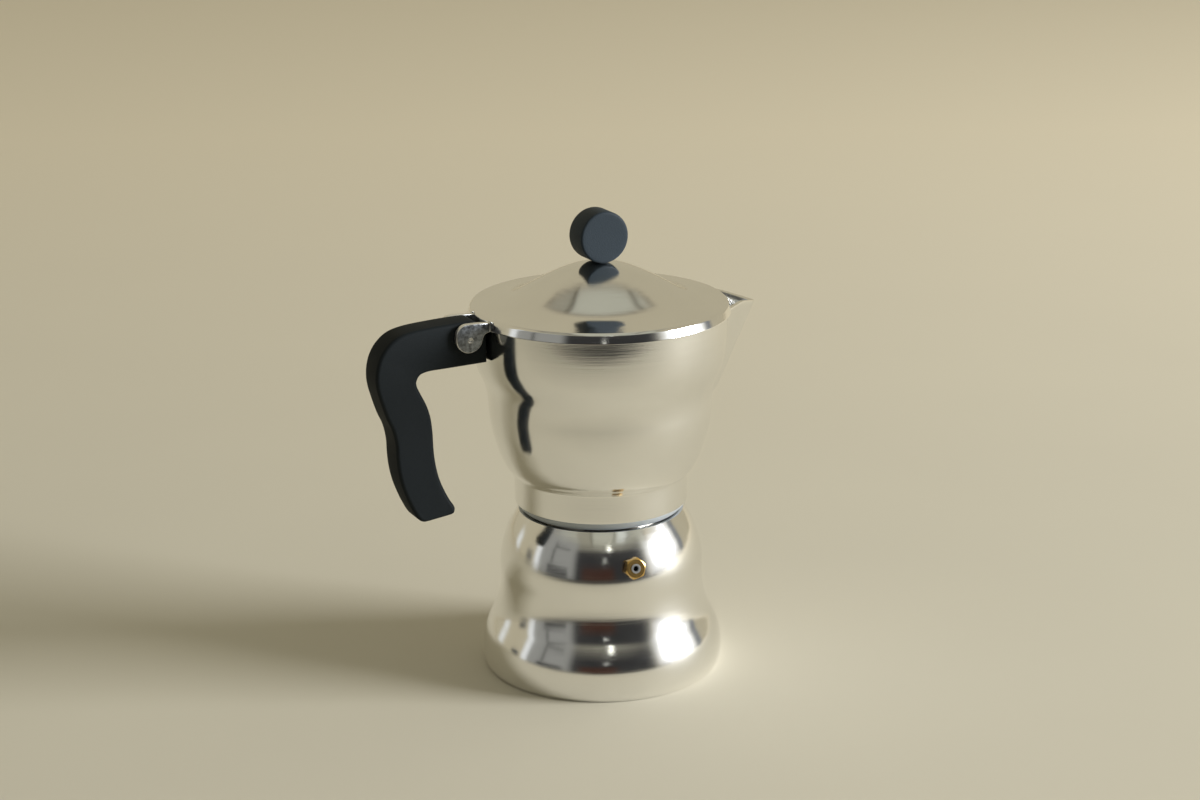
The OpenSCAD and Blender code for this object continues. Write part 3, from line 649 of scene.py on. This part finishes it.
def floor_paint():
    """Pale warm paint, painted lighter towards the back; to glossy rays its front part is painted near black, a
    painted reflection of the dim room.
    """
    made, t, shader = new_material("studio paint")
    at = own_place(t)
    colour = blend(t, noise(t, at, 6.0, 2.0), (0.61, 0.57, 0.47, 1), (0.645, 0.605, 0.495, 1))
    ahead = node(t, "ShaderNodeVectorMath", {0: at, 1: way_to(room_faces)},
                 operation="DOT_PRODUCT").outputs["Value"]
    # Painted light: from 0.1 m behind the pot the paint turns lighter towards the back. This stands in for brighter
    # light on the far floor.
    behind = stretched(t, ahead, -0.1, -1.1)
    colour = blend(t, behind, colour, (0.8, 0.72, 0.56, 1))
    # Painted reflection: for glossy rays only, the floor is painted near black from about 0.43 m in front of the
    # pot, and partly darker from 0.15 m, as the dim room.
    painted_reflection_share = maths(t, "MAXIMUM", stretched(t, ahead, 0.42, 0.447), stretched(t, ahead, 0.15, 0.4, 0.0, 0.28))
    dim = maths(t, "MULTIPLY", painted_reflection_share, node(t, "ShaderNodeLightPath").outputs["Is Glossy Ray"])
    t.links.new(blend(t, dim, colour, (0.03, 0.03, 0.03, 1)), shader.inputs["Base Color"])
    shader.inputs["Roughness"].default_value = 0.9
    shader.inputs["Specular IOR Level"].default_value = 0.1
    return made


floor_half, floor_z = 6, -0.2 * mm
floor_corners = [(x * floor_half, y * floor_half, floor_z) for x, y in ((-1, -1), (1, -1), (1, 1), (-1, 1))]
floor_mesh = bpy.data.meshes.new("studio_floor")
floor_mesh.from_pydata(floor_corners, [], [(0, 1, 2, 3)])
floor_mesh.materials.append(floor_paint())
floor = bpy.data.objects.new("studio_floor", floor_mesh)
bpy.context.scene.collection.objects.link(floor)

world = bpy.data.worlds.new("studio")
bpy.context.scene.world = world
world.use_nodes = True
sky = world.node_tree
sky.nodes.clear()
sight = node(sky, "ShaderNodeTexCoord").outputs["Generated"]
way = node(sky, "ShaderNodeSeparateXYZ", {0: sight})
bearing = maths(sky, "ARCTAN2", way.outputs["Y"], way.outputs["X"])
height = maths(sky, "ARCSINE", way.outputs["Z"])
raised = maths(sky, "MAXIMUM", way.outputs["Z"], 0.01)
softly = {"interpolation_type": "SMOOTHSTEP"}


def sight_toward(aside, up=0.0):
    """How nearly a line of sight runs toward a bearing and a height in the room."""
    return node(sky, "ShaderNodeVectorMath", {0: sight, 1: way_to(room_faces + aside, up)},
                operation="DOT_PRODUCT").outputs["Value"]


def overhead(aside):
    """How far along a bearing a line of sight meets the ceiling, in heights of the ceiling."""
    return maths(sky, "DIVIDE", sight_toward(aside), raised)


def near(value, middle, reach, blur):
    """Mask that is one where a value lies within reach of its middle."""
    away = maths(sky, "ABSOLUTE", maths(sky, "SUBTRACT", value, middle))
    return stretched(sky, away, reach - blur, reach + blur, 1.0, 0.0, **softly)


def both_of(a, b):
    """Mask of what two masks share."""
    return maths(sky, "MULTIPLY", a, b)


def small_lamp(aside, up, wide):
    """Mask of a small round lamp in the room, by bearing, height and half its width in degrees."""
    return stretched(sky, sight_toward(aside, up), cos(radians(wide * 1.5)), cos(radians(wide * 0.5)), **softly)


def pane(aside, width, low, high, blur):
    """Mask of a soft-edged rectangle of the room, by bearing and height in degrees."""
    off = maths(sky, "SUBTRACT", bearing, radians(room_faces + aside))
    away = maths(sky, "ABSOLUTE", maths(sky, "WRAP", off, pi, -pi))
    beside = stretched(sky, away, radians(width / 2 - blur), radians(width / 2 + blur), 1.0, 0.0, **softly)
    over = stretched(sky, height, radians(low - blur), radians(low + blur), **softly)
    under = stretched(sky, height, radians(high - blur), radians(high + blur), 1.0, 0.0, **softly)
    return both_of(both_of(over, under), beside)


# The ceiling is a pale cloth that hangs lower at the back, with three beams across it.
sideways, rearward = overhead(90), overhead(180)
spread = maths(sky, "ABSOLUTE", sideways)
forward = maths(sky, "MINIMUM", rearward, 0.0)
side_edge = maths(sky, "SUBTRACT", spread, maths(sky, "MULTIPLY_ADD", forward, -1.2, 0.53))
rear_line = maths(sky, "MULTIPLY_ADD", maths(sky, "POWER", spread, 2.0), 1.0, 0.46)
rear_edge = maths(sky, "SUBTRACT", rearward, rear_line)
front_edge = maths(sky, "SUBTRACT", -1.6, rearward)
past_edge = maths(sky, "MAXIMUM", maths(sky, "MAXIMUM", side_edge, rear_edge), front_edge)
ceiling = stretched(sky, past_edge, -0.02, 0.02, 1.0, 0.0)
beams = [both_of(ceiling, near(sideways, middle, 0.022, 0.018)) for middle in (-0.27, 0.37, 0.76)]
skylight = both_of(near(sideways, 0.57, 0.13, 0.04), near(rearward, -0.85, 0.3, 0.12))
shade = both_of(ceiling, near(sideways, -0.47, 0.2, 0.02))

room = (0.445, 0.4, 0.285, 1)
for mask, colour in (
        (ceiling, (0.43, 0.425, 0.345, 1)),
        (skylight, (0.66, 0.68, 0.62, 1)),
        (shade, (0.3, 0.285, 0.22, 1)),
        (near(past_edge, 0.0, 0.03, 0.025), (0.2, 0.175, 0.13, 1)),
        (beams[0], (0.1, 0.088, 0.063, 1)),
        (beams[1], (0.1, 0.088, 0.063, 1)),
        (beams[2], (0.14, 0.14, 0.13, 1)),
        # the dim room behind the camera, darkest in its middle
        (pane(2, 104, -30, 37.5, 5), (0.24, 0.23, 0.18, 1)),
        (pane(2, 100, -30, 33, 5), (0.1, 0.095, 0.08, 1)),
        (pane(2, 92, -30, 27, 5), (0.03, 0.03, 0.03, 1)),
        (pane(-4, 36, -8, 10, 3), (0.05, 0.022, 0.015, 1)),
        # a pale wall to the left with its shelves, and two narrow openings
        (pane(-55, 48, -10, 38, 5), (0.27, 0.27, 0.25, 1)),
        (pane(-60, 2.5, 8, 30, 1), (0.06, 0.06, 0.055, 1)),
        (pane(-50, 20, 26, 28.5, 1), (0.07, 0.07, 0.065, 1)),
        (pane(-52, 26, 1, 6, 1.5), (0.03, 0.03, 0.03, 1)),
        (pane(-80, 7, -6, 36, 1.5), (0.78, 0.8, 0.8, 1)),
        (pane(-92, 9, 0, 7, 2), (0.08, 0.08, 0.075, 1)),
        (pane(-116, 8, -6, 12, 3), (0.72, 0.74, 0.72, 1)),
        # the glow of the window to the right, and the dark wall past it
        (pane(80, 46, -1, 30, 7), (0.8, 0.81, 0.8, 1)),
        (pane(80, 26, 5, 25, 4), (1.5, 1.54, 1.58, 1)),
        (pane(108, 8, -2, 27, 2), (0.16, 0.17, 0.18, 1)),
        # two small lamps in the dim room
        (small_lamp(10, 33, 1.5), (6.0, 6.0, 5.4, 1)),
        (small_lamp(4, 18, 0.9), (3.0, 3.0, 2.7, 1))):
    room = blend(sky, mask, room, colour)
backdrop = blend(sky, node(sky, "ShaderNodeLightPath").outputs["Is Camera Ray"], room, (0.52, 0.46, 0.335, 1))
glow = node(sky, "ShaderNodeBackground", {"Color": backdrop, "Strength": 1.0})
node(sky, "ShaderNodeOutputWorld", {0: glow.outputs[0]})

# The window: a wide area light, less tall, that faces the middle of the pot.
window_aside, window_height, window_distance = 80, 15, 3.1
pot_middle = Vector((0, 0, 80 * mm))
window = bpy.data.lights.new("window", "AREA")
window.shape, window.size, window.size_y = "RECTANGLE", 1.3, 1.0
window.energy, window.color = 150, (0.97, 0.985, 1.0)
window_frame = bpy.data.objects.new("window", window)
bpy.context.scene.collection.objects.link(window_frame)
window_way = way_to(room_faces + window_aside, window_height)
window_frame.matrix_world = (Matrix.Translation(pot_middle + window_way * window_distance)
                             @ window_way.to_track_quat("Z", "Y").to_matrix().to_4x4())

bpy.context.scene.view_settings.view_transform = "Standard"

lens = bpy.data.cameras.new("camera")
lens.lens, lens.sensor_width, lens.sensor_fit = 72.0, 36.0, "HORIZONTAL"
lens.clip_start, lens.clip_end = 0.05, 50
camera = bpy.data.objects.new("camera", lens)
bpy.context.scene.collection.objects.link(camera)
stand = Vector((-0.3686, -0.7558, 0.3518))
down, roll = radians(16.621), radians(-0.48)
level = Vector((-stand.x, -stand.y, 0)).normalized()
look = level * cos(down) - Vector((0, 0, sin(down)))
right = look.cross(Vector((0, 0, 1))).normalized()
upward = right.cross(look)
right, upward = right * cos(roll) + upward * sin(roll), upward * cos(roll) - right * sin(roll)
camera.matrix_world = Matrix((
    (right.x, upward.x, -look.x, stand.x), (right.y, upward.y, -look.y, stand.y),
    (right.z, upward.z, -look.z, stand.z), (0, 0, 0, 1)))
bpy.context.scene.camera = camera
